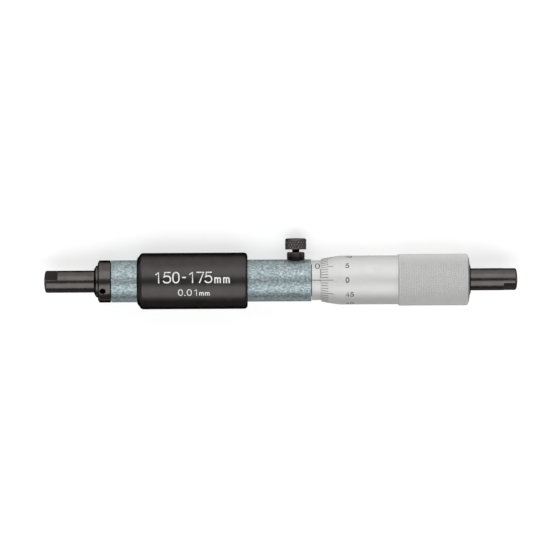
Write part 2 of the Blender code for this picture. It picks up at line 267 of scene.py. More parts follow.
def taken_back(obj):
    """The evaluated mesh of a bench object as a shape. The object is cleared away."""
    bpy.context.view_layer.update()
    evaluated = obj.evaluated_get(bpy.context.evaluated_depsgraph_get())
    shape = bmesh.new()
    shape.from_mesh(evaluated.to_mesh())
    evaluated.to_mesh_clear()
    data = obj.data
    bpy.data.objects.remove(obj)
    (bpy.data.meshes if isinstance(data, bpy.types.Mesh) else bpy.data.curves).remove(data)
    return shape


def cut(shape, cutter):
    """The shape with the cutter's volume taken out of it."""
    blank = bench_object(shape)
    tool = bench_object(cutter)
    boolean = blank.modifiers.new("cut", "BOOLEAN")
    boolean.operation = "DIFFERENCE"
    boolean.solver = "EXACT"
    boolean.object = tool
    made = taken_back(blank)
    data = tool.data
    bpy.data.objects.remove(tool)
    bpy.data.meshes.remove(data)
    return made


def drill(radius, near, far, place):
    """A round cutter along x from near to far, moved by place."""
    shape = bmesh.new()
    turn = Matrix.Translation(((near + far) / 2, 0, 0)) @ Matrix.Rotation(math.pi / 2, 4, "Y")
    bmesh.ops.create_cone(
        shape, cap_ends=True, segments=DRILL_SIDES, radius1=radius, radius2=radius,
        depth=far - near, matrix=place @ turn,
    )
    return shape


def block(length, width, height, place):
    """A box of the given sizes round its own middle, moved by place."""
    shape = bmesh.new()
    bmesh.ops.create_cube(shape, size=1, matrix=place @ Matrix.Diagonal((length, width, height, 1)))
    return shape


def toward(angle):
    """Turns x to a direction across the instrument, so many degrees above the datum line."""
    return Matrix.Rotation(math.radians(90 - angle), 4, "X") @ Matrix.Rotation(math.pi / 2, 4, "Z")


def eased(shape, width, keep):
    """Breaks the sharp edges of a cut, where keep says so of an edge's middle."""
    edges = []
    for edge in shape.edges:
        if len(edge.link_faces) == 2 and edge.calc_face_angle(0) > math.radians(EASED_FROM):
            if keep((edge.verts[0].co + edge.verts[1].co) / 2):
                edges.append(edge)
    bmesh.ops.bevel(
        shape, geom=edges, offset=width, offset_type="OFFSET", affect="EDGES", segments=2,
        profile=0.5, material=-1, clamp_overlap=True,
    )
    return shape


def knurled(shape, start, end, radius, count, pitch, depth, flank=0.42, fall=ON_SURFACE):
    """Crossed grooves over a band of rings that is already fine enough to take them.

    The diamonds stand in rows half a pitch apart, and the first row would stand at start. A groove's
    flank takes up its share of the way to the next groove. Fall says how far below its radius the band
    may lie, where its ends are rounded.
    """
    for vert in shape.verts:
        reach = vert.co.yz.length
        if not start <= vert.co.x <= end or abs(reach - radius) > fall:
            continue
        around = math.atan2(vert.co.z, vert.co.y) / math.tau * count
        rise = 1
        for line in (around + (vert.co.x - start) / pitch, around - (vert.co.x - start) / pitch):
            rise = min(rise, abs(line - round(line)) / flank)
        vert.co.yz *= 1 - depth * (1 - rise) / radius


def threaded(shape, start, end, radius, pitch, depth):
    """A right-hand thread on a band of fine rings."""
    for vert in shape.verts:
        if start <= vert.co.x <= end and abs(vert.co.yz.length - radius) < ON_SURFACE:
            phase = (vert.co.x / pitch - math.atan2(vert.co.z, vert.co.y) / math.tau) % 1
            vert.co.yz *= 1 - depth * (1 - abs(2 * phase - 1)) / radius


def dome(radius):
    """How far the ball-shaped contact face falls back from the tip at this radius."""
    return TIP_SPHERE - math.sqrt(TIP_SPHERE ** 2 - radius ** 2)


def bevel_radius(along):
    """The thimble's outer radius from its lip to its body. The bevel is very slightly crowned."""
    share = min(max((along - LIP) / BEVEL, 0), 1)
    return LIP_R + (BODY_R - LIP_R) * ((1 + BEVEL_CROWN) * share - BEVEL_CROWN * share ** 2)


def joined(shapes):
    """One shape made of several."""
    whole = bmesh.new()
    for shape in shapes:
        mesh = bpy.data.meshes.new("blank")
        shape.to_mesh(mesh)
        shape.free()
        whole.from_mesh(mesh)
        bpy.data.meshes.remove(mesh)
    return whole


def piece(name, shape, material, body, nodes=(), stand=Matrix(), second=None):
    """Makes a finished piece of a shape and lets it ride on its body in place of its CAD nodes.

    A second finish is given with the test of the faces that take it.
    """
    if second:
        for face in shape.faces:
            face.material_index = int(second[1](face))
    shape.transform(PLACE @ stand)
    mesh = bpy.data.meshes.new(name)
    shape.to_mesh(mesh)
    shape.free()
    mesh.shade_smooth()
    mesh.set_sharp_from_angle(angle=math.radians(SHARP_FROM))
    mesh.materials.append(material)
    if second:
        mesh.materials.append(second[0])
    obj = bpy.data.objects.new(name, mesh)
    bpy.context.scene.collection.objects.link(obj)
    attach(obj, body)
    if nodes:
        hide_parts(*nodes)


# Marks. They are laid out flat as x along, y round the surface and z above it, and then rolled on.

def line_mark(start, end, low, high):
    """A graduation line. It is sunk far enough to stay whole on a curved surface."""
    place = Matrix.Translation(((start + end) / 2, (low + high) / 2, (MARK_PROUD - MARK_SUNK) / 2))
    return block(end - start, high - low, MARK_PROUD + MARK_SUNK, place)


def oval(across, up, wide, tall, start, end):
    """Points of a stroke round a full-cornered oval, from one angle to another."""
    steps = max(3, round(abs(end - start) / OVAL_STEP))
    points = []
    for step in range(steps + 1):
        angle = math.radians(start + (end - start) * step / steps)
        way = Vector((math.cos(angle), math.sin(angle)))
        reach = (abs(way.x) ** OVAL_POWER + abs(way.y) ** OVAL_POWER) ** (-1 / OVAL_POWER)
        points.append((across + wide * reach * way.x, up + tall * reach * way.y))
    return points


# Figures and letters as strokes, in shares of their width and height.
FIGURES = {
    "0": [oval(0.5, 0.5, 0.5, 0.5, 90, 450)],
    "1": [[(0, 0.8), (1, 1), (1, 0)]],
    "2": [oval(0.5, 0.72, 0.5, 0.28, 165, -25) + [(0, 0), (1, 0)]],
    "3": [oval(0.45, 0.76, 0.45, 0.24, 150, -90), oval(0.45, 0.27, 0.52, 0.27, 90, -150)],
    "4": [[(0.75, 0), (0.75, 1), (0, 0.3), (1, 0.3)]],
    "5": [[(0.92, 1), (0.16, 1), (0.06, 0.5)] + oval(0.46, 0.32, 0.52, 0.32, 140, -150)],
    "7": [[(0, 1), (1, 1), (0.35, 0)]],
    "-": [[(0, 0.5), (1, 0.5)]],
    ".": [[(0, 0), (1, 0)]],
    "m": [[(0, 0), (0, 1)], oval(0.25, 0.66, 0.25, 0.34, 180, 0) + [(0.5, 0)],
          oval(0.75, 0.66, 0.25, 0.34, 180, 0) + [(1, 0)]],
}


def figure_mark(letter, left, right, low, high, stroke):
    """A figure drawn with one even, round-edged stroke. Its outside fills the box."""
    curve = bpy.data.curves.new("figure", "CURVE")
    curve.dimensions = "3D"
    curve.bevel_depth = stroke / 2
    curve.bevel_resolution = 1
    curve.use_fill_caps = True
    for path in FIGURES[letter]:
        points = [
            Vector((left + stroke / 2 + across * (right - left - stroke),
                    low + stroke / 2 + up * (high - low - stroke)))
            for across, up in path
        ]
        if path[0] != path[-1]:
            points[0] += (points[0] - points[1]).normalized() * STROKE_END * stroke
            points[-1] += (points[-1] - points[-2]).normalized() * STROKE_END * stroke
        spline = curve.splines.new("POLY")
        spline.points.add(len(points) - 1)
        for point, place in zip(spline.points, points):
            point.co = (*place, 0, 1)
    obj = bpy.data.objects.new("figure", curve)
    bpy.context.scene.collection.objects.link(obj)
    shape = taken_back(obj)
    bmesh.ops.remove_doubles(shape, verts=shape.verts, dist=MARK_MERGED)
    bmesh.ops.recalc_face_normals(shape, faces=shape.faces)
    shape.transform(Matrix.Diagonal((1, 1, 2 * MARK_PROUD / stroke, 1)))
    return shape


def number_marks(text, left, low, width, height, gap):
    """A number in even figures, its left edge at left. A 1 is narrower than the others."""
    shapes = []
    for letter in text:
        wide = width * NARROW if letter == "1" else width
        shapes.append(figure_mark(letter, left, left + wide, low, low + height, SCALE_STROKE))
        left += wide + gap
    return shapes


def rolled(shapes, radius_at, turn=0.0, along_step=None, round_step=0.3):
    """Wraps flat marks round the surface whose radius at x is radius_at(x), turned by so many degrees.

    They are cut at even steps first, so that they can follow the curve.
    """
    shape = joined(shapes)
    for axis, step in ((Vector((1, 0, 0)), along_step), (Vector((0, 1, 0)), round_step)):
        if not step:
            continue
        spans = [vert.co.dot(axis) for vert in shape.verts]
        for index in range(math.ceil(min(spans) / step), math.floor(max(spans) / step) + 1):
            bmesh.ops.bisect_plane(
                shape, geom=shape.verts[:] + shape.edges[:] + shape.faces[:],
                dist=MARK_MERGED, plane_co=axis * step * index, plane_no=axis,
            )
    for vert in shape.verts:
        along, way, height = vert.co
        radius = radius_at(along)
        angle = math.radians(turn) + way / radius
        vert.co = (along, (radius + height) * math.sin(angle), (radius + height) * math.cos(angle))
    return shape


# Finishes.

NOISE = "ShaderNodeTexNoise"
CELLS = "ShaderNodeTexVoronoi"
# Nearly all of a noise pattern's values lie between these two.
PATTERN_LOW = 0.3
PATTERN_HIGH = 0.7
# A step so long that the way along the axis hardly counts.
FLATTENED = 100000
AROUND_AXIS = LAID.to_euler()
AROUND_CLAMP = (LAID @ STAND.to_3x3().to_4x4()).to_euler()


def finish(name, **numbers):
    """A material whose shader has the given numbers on its own sockets."""
    material = bpy.data.materials.new(name)
    material.use_nodes = True
    shader = material.node_tree.nodes["Principled BSDF"]
    for key, value in numbers.items():
        shader.inputs[key.replace("_", " ")].default_value = value
    return material


def laid_out(material, size, turn, centre=AXIS):
    """The piece's own coordinates, counted from the centre in steps of so many millimetres."""
    nodes = material.node_tree.nodes
    place = nodes.new("ShaderNodeMapping")
    place.vector_type = "TEXTURE"
    place.inputs["Location"].default_value = centre
    place.inputs["Rotation"].default_value = turn
    place.inputs["Scale"].default_value = [part * 0.001 for part in size]
    coordinates = nodes.new("ShaderNodeTexCoord").outputs["Object"]
    material.node_tree.links.new(coordinates, place.inputs["Vector"])
    return place.outputs["Vector"]


def pattern(material, kind, size, turn=AROUND_AXIS, **settings):
    """A pattern whose features have the given sizes in millimetres."""
    texture = material.node_tree.nodes.new(kind)
    material.node_tree.links.new(laid_out(material, size, turn), texture.inputs["Vector"])
    texture.inputs["Scale"].default_value = 1
    for key, value in settings.items():
        if key in texture.inputs:
            texture.inputs[key].default_value = value
        else:
            setattr(texture, key, value)
    return texture.outputs["Fac"] if "Fac" in texture.outputs else texture.outputs["Distance"]


def tinted(material, source, stops):
    """The base colour follows a pattern through a ramp of (place, colour) stops."""
    tree = material.node_tree
    ramp = tree.nodes.new("ShaderNodeValToRGB")
    while len(ramp.color_ramp.elements) < len(stops):
        ramp.color_ramp.elements.new(0.5)
    for element, (place, colour) in zip(ramp.color_ramp.elements, stops):
        element.position = place
        element.color = (*colour, 1)
    tree.links.new(source, ramp.inputs["Fac"])
    tree.links.new(ramp.outputs["Color"], tree.nodes["Principled BSDF"].inputs["Base Color"])


def worn(material, colour, low, high):
    """Lets a lighter colour show on the peaks of the knob, between two distances from its axis."""
    tree = material.node_tree
    base = tree.nodes["Principled BSDF"].inputs["Base Color"]
    reach = tree.nodes.new("ShaderNodeVectorMath")
    reach.operation = "LENGTH"
    centre = PLACE @ Vector((CLAMP, 0, 0))
    tree.links.new(laid_out(material, (FLATTENED, 1, 1), AROUND_CLAMP, centre), reach.inputs[0])
    share = tree.nodes.new("ShaderNodeMapRange")
    share.inputs["From Min"].default_value = low
    share.inputs["From Max"].default_value = high
    tree.links.new(reach.outputs["Value"], share.inputs["Value"])
    mix = tree.nodes.new("ShaderNodeMixRGB")
    tree.links.new(share.outputs["Result"], mix.inputs["Fac"])
    tree.links.new(base.links[0].from_socket, mix.inputs["Color1"])
    mix.inputs["Color2"].default_value = (*colour, 1)
    tree.links.new(mix.outputs["Color"], base)


def roughened(material, source, low, high):
    """The gloss varies with a pattern."""
    tree = material.node_tree
    span = tree.nodes.new("ShaderNodeMapRange")
    span.inputs["From Min"].default_value = PATTERN_LOW
    span.inputs["From Max"].default_value = PATTERN_HIGH
    span.inputs["To Min"].default_value = low
    span.inputs["To Max"].default_value = high
    tree.links.new(source, span.inputs["Value"])
    tree.links.new(span.outputs["Result"], tree.nodes["Principled BSDF"].inputs["Roughness"])


def textured(material, *layers):
    """Fine relief, from (pattern, height in millimetres, strength) layers."""
    tree = material.node_tree
    last = None
    for source, height, strength in layers:
        bump = tree.nodes.new("ShaderNodeBump")
        bump.inputs["Distance"].default_value = height * 0.001
        bump.inputs["Strength"].default_value = strength
        tree.links.new(source, bump.inputs["Height"])
        if last:
            tree.links.new(last, bump.inputs["Normal"])
        last = bump.outputs["Normal"]
    tree.links.new(last, tree.nodes["Principled BSDF"].inputs["Normal"])


def enamel_finish():
    """Grey-blue hammer paint: small pale and dark flecks over shallow dimples."""
    material = finish("hammered_enamel", Metallic=0.75, Roughness=0.4, Specular_Tint=(0.1, 0.1, 0.1, 1))
    flecks = pattern(material, NOISE, (0.8, 0.6, 0.6), Detail=4.0, Roughness=0.62)
    tinted(material, flecks, [
        (0.28, (0.13, 0.185, 0.205)), (0.44, (0.225, 0.295, 0.315)),
        (0.56, (0.355, 0.405, 0.42)), (0.72, (0.60, 0.62, 0.63)),
    ])
    dimples = pattern(material, CELLS, (0.75, 0.75, 0.75), feature="SMOOTH_F1", Smoothness=0.6)
    textured(material, (dimples, 0.12, 0.7), (flecks, 0.05, 0.6))
    return material


def lathe_finish(name, colour, spread, edge, rough, turn=AROUND_AXIS):
    """Bare or blacked metal with the fine rings that turning leaves.

    The colour varies by the spread, and the roughness between the two values of rough. Edge says how
    much the metal still reflects where it is seen at a very flat angle.
    """
    material = finish(name, Metallic=1.0, Specular_Tint=(edge, edge, edge, 1))
    rings = pattern(material, NOISE, (0.14, 60, 60), turn, Detail=2.0)
    cloud = pattern(material, NOISE, (2.5, 2.5, 2.5), turn, Detail=3.0)
    tinted(material, cloud, [
        (PATTERN_LOW, [part * (1 - spread) for part in colour]),
        (PATTERN_HIGH, [part * (1 + spread) for part in colour]),
    ])
    roughened(material, cloud, *rough)
    textured(material, (rings, 0.0012, 0.5))
    return material


def grip_finish():
    """Satin black with a faint grain."""
    material = finish("grip_black", Metallic=1.0, Specular_Tint=(0.02, 0.02, 0.02, 1))
    cloud = pattern(material, NOISE, (3, 3, 3), Detail=3.0)
    grain = pattern(material, NOISE, (0.09, 0.09, 0.09), Detail=2.0)
    tinted(material, cloud, [
        (PATTERN_LOW, (0.054, 0.049, 0.049)), (PATTERN_HIGH, (0.064, 0.058, 0.058)),
    ])
    roughened(material, cloud, 0.31, 0.36)
    textured(material, (grain, 0.01, 0.5))
    return material


def ink_finish(name, colour, rough):
    """Filled-in marks, very slightly uneven."""
    material = finish(name, Roughness=rough)
    cloud = pattern(material, NOISE, (0.3, 0.3, 0.3), Detail=2.0)
    tinted(material, cloud, [(PATTERN_LOW, [part * 0.85 for part in colour]), (PATTERN_HIGH, colour)])
    return material


ENAMEL = enamel_finish()
GRIP_BLACK = grip_finish()
BLACKED = lathe_finish(
    "blacked_steel", (0.092, 0.085, 0.082), spread=0.12, edge=0.02, rough=(0.22, 0.28))
# Painted shade: the wrench flats and the clamp bush's foot are blacked like the rest, and this darker
# black stands in for the shade on them.
BLACKED_PAINTED_SHADE = lathe_finish(
    "blacked_painted_shade", (0.028, 0.025, 0.024), spread=0.12, edge=0.6, rough=(0.36, 0.44))
BLACKED_CLAMP = lathe_finish(
    "blacked_steel_clamp", (0.074, 0.068, 0.067), spread=0.15, edge=0.02, rough=(0.32, 0.40),
    turn=AROUND_CLAMP)
BLACKED_KNOB = lathe_finish(
    "blacked_knob", (0.066, 0.061, 0.059), spread=0.15, edge=0.1, rough=(0.34, 0.42),
    turn=AROUND_CLAMP)
# The peaks of the knob's knurl are lighter than its base.
worn(BLACKED_KNOB, (0.30, 0.28, 0.27), HEAD_R - 0.07, HEAD_R - 0.01)
# Painted shade: a very dark steel for the inner sleeve, seen in the narrow gap between the tube and the
# scale sleeve, so that the gap looks shaded.
GAP_SHADE_STEEL = lathe_finish(
    "steel_painted_gap_shade", (0.030, 0.028, 0.027), spread=0.1, edge=0.02, rough=(0.45, 0.55))
CHROME = lathe_finish(
    "satin_chrome", (0.77, 0.77, 0.765), spread=0.02, edge=0.02, rough=(0.60, 0.66))
# The plain distribution keeps the chrome's edges darker, as satin plating shows them.
CHROME.node_tree.nodes["Principled BSDF"].distribution = "GGX"
# Painted shade: the thimble's end face is chrome like the rest, and this darker colour stands in for the
# shade at its end.
THIMBLE_END_SHADE = lathe_finish(
    "thimble_end_painted_shade", (0.30, 0.29, 0.285), spread=0.06, edge=0.02, rough=(0.56, 0.64))
GROUND = lathe_finish(
    "ground_steel", (0.58, 0.58, 0.57), spread=0.06, edge=0.6, rough=(0.22, 0.30))
GROUND_TIP = lathe_finish(
    "lapped_tip", (0.34, 0.34, 0.34), spread=0.08, edge=0.4, rough=(0.14, 0.22))
BRASS = lathe_finish(
    "pad_brass", (0.62, 0.45, 0.20), spread=0.10, edge=0.5, rough=(0.25, 0.35), turn=AROUND_CLAMP)
BLACK_INK = ink_finish("scale_ink", (0.035, 0.032, 0.032), 0.7)
WHITE_INK = ink_finish("print_white", (0.86, 0.86, 0.86), 0.5)


# The frame: tube, grip, sleeves.

def make_tube():
    """The tube, with the hole for the clamp's bush. Rings along it keep its faces short near the hole."""
    inside = 3
    outside = 8
    shape = turned([
        (TUBE, TUBE_BORE, 0.1), (TUBE, TUBE_R, 0.25), (40, TUBE_R, 0), (60, TUBE_R, 0),
        (CLAMP - 3.6, TUBE_R, 0), (CLAMP + 3.7, TUBE_R, 0), (TUBE_END, TUBE_R, 0.25),
        (TUBE_END, TUBE_BORE, 0.1),
    ], 144)
    shape = cut(shape, drill(BUSH_HOLE, inside, outside, STAND))
    piece("tube", shape, ENAMEL, "frame", ["frame_tube"])


def make_grip():
    """The insulating grip, chamfered at its left end and rounded at its right."""
    shape = turned([
        (GRIP, GRIP_BORE, 0), (GRIP, GRIP_R - 1.8, 0.3), (GRIP + 1.4, GRIP_R, 0.55),
        (GRIP_END, GRIP_R, 1.3), (GRIP_END, GRIP_BORE, 0),
    ], 160)
    piece("grip_sleeve", shape, GRIP_BLACK, "frame", ["grip"])


def make_grip_print():
    """The measuring range and the reading of one division, in plain figures.

    Each row has its characters with their left and right edges, its foot, its top and its stroke.
    """
    rows = [
        ([
            ("1", 35.45, 36.68), ("5", 37.82, 40.45), ("0", 40.76, 43.12), ("-", 43.84, 45.09),
            ("1", 46.1, 47.38), ("7", 48.46, 50.9), ("5", 50.98, 53.45),
        ], -0.72, 2.97, PRINT_STROKE),
        ([("m", 54.02, 56.14), ("m", 56.8, 58.92)], -0.8, 1.15, PRINT_STROKE),
        ([
            ("0", 42.57, 44.1), (".", 44.5, 44.95), ("0", 45.33, 46.92), ("1", 47.7, 48.55),
        ], -4.9, -2.66, FINE_STROKE),
        ([("m", 49.25, 50.75), ("m", 51.05, 52.55)], -4.88, -3.62, FINE_STROKE),
    ]
    shapes = [
        figure_mark(letter, left, right, foot, top, stroke)
        for letters, foot, top, stroke in rows
        for letter, left, right in letters
    ]
    shape = rolled(shapes, lambda along: GRIP_R, round_step=0.35)
    piece("grip_print", shape, WHITE_INK, "frame")


def make_scale_sleeve():
    """The chromed sleeve that carries the scale and goes into the thimble."""
    shape = turned([
        (SLEEVE, SLEEVE_BORE, 0.05), (SLEEVE, SLEEVE_R, 0.05), (95, SLEEVE_R, 0), (105, SLEEVE_R, 0),
        (SLEEVE_END, SLEEVE_R, 0.2), (SLEEVE_END, SLEEVE_BORE, 0.1),
    ], 160)
    piece("sleeve", shape, CHROME, "frame", ["scale_sleeve"])


def make_scale():
    """The datum line, the millimetres above it with their numbers, and the halves below it."""
    foot = 0.73
    short_mark = 2.75
    long_mark = 3.75
    half_mark = 2.4
    number_foot = 3.85
    half = MARK_WIDTH / 2
    shapes = [line_mark(SLEEVE + 0.1, SLEEVE_END - 1, -DATUM_WIDTH / 2, DATUM_WIDTH / 2)]
    for count in range(TRAVEL + 1):
        here = ZERO + count
        top = long_mark if count % NUMBERED == 0 else short_mark
        shapes.append(line_mark(here - half, here + half, foot, top))
        if count < TRAVEL:
            shapes.append(line_mark(here + 0.5 - half, here + 0.5 + half, -half_mark, -foot))
        if count % NUMBERED == 0:
            text = str(count)
            # The 0 stands to the left of its line, and the other numbers over theirs.
            left = here - 1.75 if count == 0 else here - 0.9 * len(text)
            shapes += number_marks(text, left, number_foot, width=1.55, height=2.3, gap=0.25)
    shape = rolled(shapes, lambda along: SLEEVE_R)
    piece("sleeve_marks", shape, BLACK_INK, "frame")


def finish_hidden_pieces():
    """The two hidden pieces keep their CAD shape. Their very dark steel is painted shade, so that the
    narrow gap between the tube and the scale sleeve, where the inner sleeve is seen, reads dark.
    """
    for name in ("inner_sleeve", "adjusting_nut"):
        node = frame["nodes"][name]
        node.data.materials.clear()
        node.data.materials.append(GAP_SHADE_STEEL)


# The clamp.

def make_clamp_bush():
    """The bush in the tube's wall. Its foot is painted darker than the rest of it, as shade where it goes
    down beside the tube.
    """
    neck = 2.0
    shape = turned([
        (BUSH, BUSH_BORE, 0), (BUSH, neck, 0.1), (BUSH_SEAT, neck, 0), (BUSH_SEAT, BUSH_R, 0.1),
        (BUSH_FOOT, BUSH_R, 0), (BUSH_TOP, BUSH_R, 0.5), (BUSH_TOP, BUSH_BORE, 0.1),
    ], 96)
    # The foot takes the darker black, which is painted shade.
    foot = (BLACKED_PAINTED_SHADE, lambda face: face.calc_center_median().x < BUSH_FOOT)
    piece("clamp_boss", shape, BLACKED_CLAMP, "frame", ["clamp_bush"], STAND, second=foot)


def make_clamp_screw():
    """The clamp screw and its knurled head, with eight turned steps to a division of the knurl."""
    thread = 5.0
    thread_top = 9.6
    shape = turned([
        (HEAD_TOP + 0.09, 0, 0), (HEAD_TOP + 0.06, 1.4, 0), (HEAD_TOP, HEAD_R, HEAD_EDGE),
        *steps_between(HEAD_KNURL_TOP, HEAD_KNURL, HEAD_KNURL_ROWS, HEAD_R),
        (HEAD, HEAD_R, 0.4), (HEAD, SCREW_R, 0.05),
        *thread_rows(thread_top, thread, SCREW_R, CLAMP_PITCH),
        (SCREW, 1.1, 0), (SCREW, 0, 0),
    ], 8 * HEAD_KNURL_COUNT, closed=False)
    knurled(
        shape, HEAD, HEAD_TOP, HEAD_R, HEAD_KNURL_COUNT, HEAD_KNURL_PITCH, HEAD_KNURL_DEPTH,
    )
    threaded(shape, thread, thread_top, SCREW_R, CLAMP_PITCH, 0.14)
    piece("clamp_knob", shape, BLACKED_KNOB, "clamp", ["clamp_screw"], STAND)


def make_clamp_pad():
    """The pad that the clamp screw presses on to the spindle."""
    shape = turned([
        (PAD_TOP, 0, 0), (PAD_TOP, SCREW_R, 0.1), (PAD, SCREW_R, 0.1), (PAD, 0, 0),
    ], 64, closed=False)
    piece("clamp_shoe", shape, BRASS, "pad", ["clamp_pad"], STAND)


# The fixed end.

def wrench_flats(shape, centre, angle):
    """Cuts a rod's two flats for a wrench and breaks their edges, but none inside the tip's seat."""
    near = FLAT_LENGTH / 2 + 0.15
    for side in (1, -1):
        place = Matrix.Translation((centre, 0, 0)) @ toward(angle)
        place @= Matrix.Translation((side * (FLAT_OUT + ROD_R), 0, 0))
        shape = cut(shape, block(2 * ROD_R, FLAT_LENGTH, 3 * ROD_R, place))
    outside = FLAT_OUT - 0.025
    return eased(shape, 0.05, lambda spot: abs(spot.x - centre) < near and spot.yz.length > outside)


def flat_faces(angle):
    """The test of a face for lying in one of a rod's two wrench flats."""
    way = toward(angle) @ ALONG
    nearly_straight = 0.98

    def lies_in(face):
        facing = abs(face.normal.dot(way)) > nearly_straight
        return facing and abs(face.calc_center_median().dot(way)) < FLAT_OUT + 0.075

    return lies_in


def rod_end():
    """A rod's end as (distance from the tip, radius, rounding), from its side to the tip's seat.

    The first three rings keep its faces short, most of all near the wrench flats.
    """
    return [
        (10, ROD_R, 0), (FLAT_LENGTH + 0.5, ROD_R, 0), (FLAT_LENGTH + 0.1, ROD_R, 0),
        (dome(FACE_R) + 0.4, ROD_R, 0.08), (dome(FACE_R), FACE_R, 0.05),
        (dome(SEAT_BORE), SEAT_BORE, 0.02), (TIP_SEAT, SEAT_BORE, 0), (TIP_SEAT, 0, 0),
    ]


def make_tip(name, body, mirror):
    """A hard tip with its ball-shaped face, at the fixed end or, mirrored, at the moving one."""
    count = 8
    rings = [TIP_R * part / count for part in range(count - 1, -1, -1)]
    corners = [(TIP_LENGTH, 0, 0), (TIP_LENGTH, TIP_R, 0.1), (dome(TIP_R), TIP_R, 0.05)]
    corners += [(dome(ring), ring, 0) for ring in rings]
    shape = turned(corners, 96, closed=False)
    if mirror:
        shape.transform(Matrix.Translation((LENGTH, 0, 0)) @ Matrix.Rotation(math.pi, 4, "Z"))
    piece(name, shape, GROUND_TIP, body, [name])


def make_fixed_rod():
    """The rod with its wrench flats and the threaded shank that screws into the tube."""
    thread = 17.4
    thread_end = 33.6
    shank_end = 34.1
    shape = turned([
        (shank_end, 0, 0), (shank_end, SHANK_R - 0.3, 0.1), (shank_end - 0.3, SHANK_R, 0),
        *thread_rows(thread_end, thread, SHANK_R, FINE_PITCH),
        (SHOULDER + 0.7, SHANK_R, 0.15), (SHOULDER, ROD_R + 0.4, 0.15), (SHOULDER, ROD_R, 0.1),
        *rod_end(),
    ], 96, closed=False)
    threaded(shape, thread, thread_end, SHANK_R, FINE_PITCH, 0.22)
    shape = wrench_flats(shape, FLAT_LENGTH / 2, FIXED_FLATS)
    # The flats take the darker black, which is painted shade.
    flats = (BLACKED_PAINTED_SHADE, flat_faces(FIXED_FLATS))
    piece("fixed_rod", shape, BLACKED, "fixed_rod", ["fixed_anvil"], second=flats)


def make_ring():
    """The lock ring with its two holes for a pin spanner."""
    outside = RING_R + 0.8
    rim = RING_R - 0.5
    near = SPANNER_BORE + 0.1
    shape = turned([
        (RING, RING_BORE, 0.1), (RING, RING_R - 0.8, 0.12), (RING + 0.5, RING_R, 0.15),
        (RING_END - 0.45, RING_R, 0), (RING_END, RING_R, 0.25), (RING_END, RING_BORE, 0.1),
    ], 160)
    place = Matrix.Translation((SPANNER_HOLE, 0, 0)) @ toward(SPANNER_WAY)
    shape = cut(shape, drill(SPANNER_BORE, -outside, outside, place))
    eased(shape, 0.07, lambda spot: abs(spot.x - SPANNER_HOLE) < near and spot.yz.length > rim)
    piece("ring", shape, BLACKED, "ring", ["lock_ring"])


# The measuring end: thimble, spindle, moving rod.

def make_thimble():
    """The thimble: crowned bevel, plain body with a groove, knurl with a rounded end, and its bores.

    Each knurl groove gets three steps, both round the thimble and along it, and each face of the
    band gets a point in its middle, so that the grooves run straight both ways.
    """
    groove = 111.45
    knurl_start = KNURL + 0.3
    knurl_stop = KNURL + 22.12
    taper_bore = 4.6
    taper_bore_end = 3.8
    end_fall = 0.7
    bevel_rings = 12
    bevel = [LIP + BEVEL * part / bevel_rings for part in range(1, bevel_rings)]
    bevel = [(along, bevel_radius(along), 0) for along in bevel]
    rows = steps_between(knurl_start, knurl_start + KNURL_ROWS * KNURL_PITCH / 3, KNURL_ROWS, KNURL_R)
    shape = turned([
        (LIP, LIP_BORE, 0.03), (LIP, LIP_R, 0.03), *bevel, (LIP + BEVEL, BODY_R, 0.1),
        (100, BODY_R, 0), (106, BODY_R, 0), (groove - 0.1, BODY_R, 0.02),
        (groove, BODY_R - 0.05, 0.02), (groove + 0.1, BODY_R, 0.02), (KNURL, BODY_R, 0.05),
        (KNURL + 0.28, KNURL_R, 0.03), *rows, (knurl_stop - 0.5, KNURL_R - 0.03, 0),
        (knurl_stop - 0.24, KNURL_R - 0.13, 0), (knurl_stop, KNURL_R - 0.38, 0),
        (KNURL_END - 0.17, KNURL_R - 1.0, 0), (KNURL_END, KNURL_R - 1.7, 0),
        (KNURL_END + 0.15, RECESS_BORE, 0.05), (TAPER_END, RECESS_BORE, 0.05),
        (TAPER_END, taper_bore_end, 0.05), (TAPER, taper_bore, 0), (BORE_END, taper_bore, 0.05),
        (BORE_END, THIMBLE_BORE, 0.1), (LIP + 4.2, THIMBLE_BORE, 0), (LIP + 2.2, LIP_BORE, 0),
    ], 3 * KNURL_COUNT)
    band = []
    for face in shape.faces:
        middle = face.calc_center_median()
        if knurl_start < middle.x < knurl_stop and middle.yz.length > KNURL_R - end_fall:
            band.append(face)
    bmesh.ops.poke(shape, faces=band)
    knurled(
        shape, knurl_start, knurl_stop + 0.01, KNURL_R, KNURL_COUNT, KNURL_PITCH, KNURL_DEPTH,
        flank=1 / 3, fall=end_fall,
    )
    # The end face takes the darker colour, which is painted shade.
    end_face = (THIMBLE_END_SHADE, lambda face: face.calc_center_median().x > knurl_stop)
    piece("thimble_body", shape, CHROME, "thimble_group", ["thimble"], second=end_face)


def make_thimble_marks():
    """The divisions on the bevel, and a number on the body at every fifth."""
    short_end = 90.0
    long_end = 91.6
    number_left = 95.45
    turn = 360 / DIVISIONS
    half = MARK_WIDTH / 2
    shapes = []
    for count in range(DIVISIONS):
        end = long_end if count % NUMBERED == 0 else short_end
        lines = [line_mark(LIP + 0.08, end, -half, half)]
        shapes.append(rolled(lines, bevel_radius, turn * count, along_step=0.5))
        if count % NUMBERED == 0:
            digits = number_marks(str(count), number_left, -0.9, width=1.2, height=1.8, gap=0.22)
            shapes.append(rolled(digits, lambda along: BODY_R, turn * count))
    piece("thimble_marks", joined(shapes), BLACK_INK, "thimble_group")


def make_end_nut():
    """The nut that holds the thimble, with a slot across its face."""
    slot_depth = 1
    slot_width = 1
    shape = turned([
        (NUT_END, NUT_BORE, 0.05), (NUT_END, NUT_R - 1.3, 0.08), (KNURL_END, NUT_R, 0.1),
        (NUT, NUT_R, 0.1), (NUT, NUT_BORE, 0.1),
    ], 96)
    place = Matrix.Translation((NUT_END, 0, 0)) @ Matrix.Rotation(math.pi / 2, 4, "Z")
    shape = cut(shape, block(4 * NUT_R, 2 * slot_depth, slot_width, place))
    piece("end_nut", shape, BLACKED, "thimble_group", ["thimble_nut"])


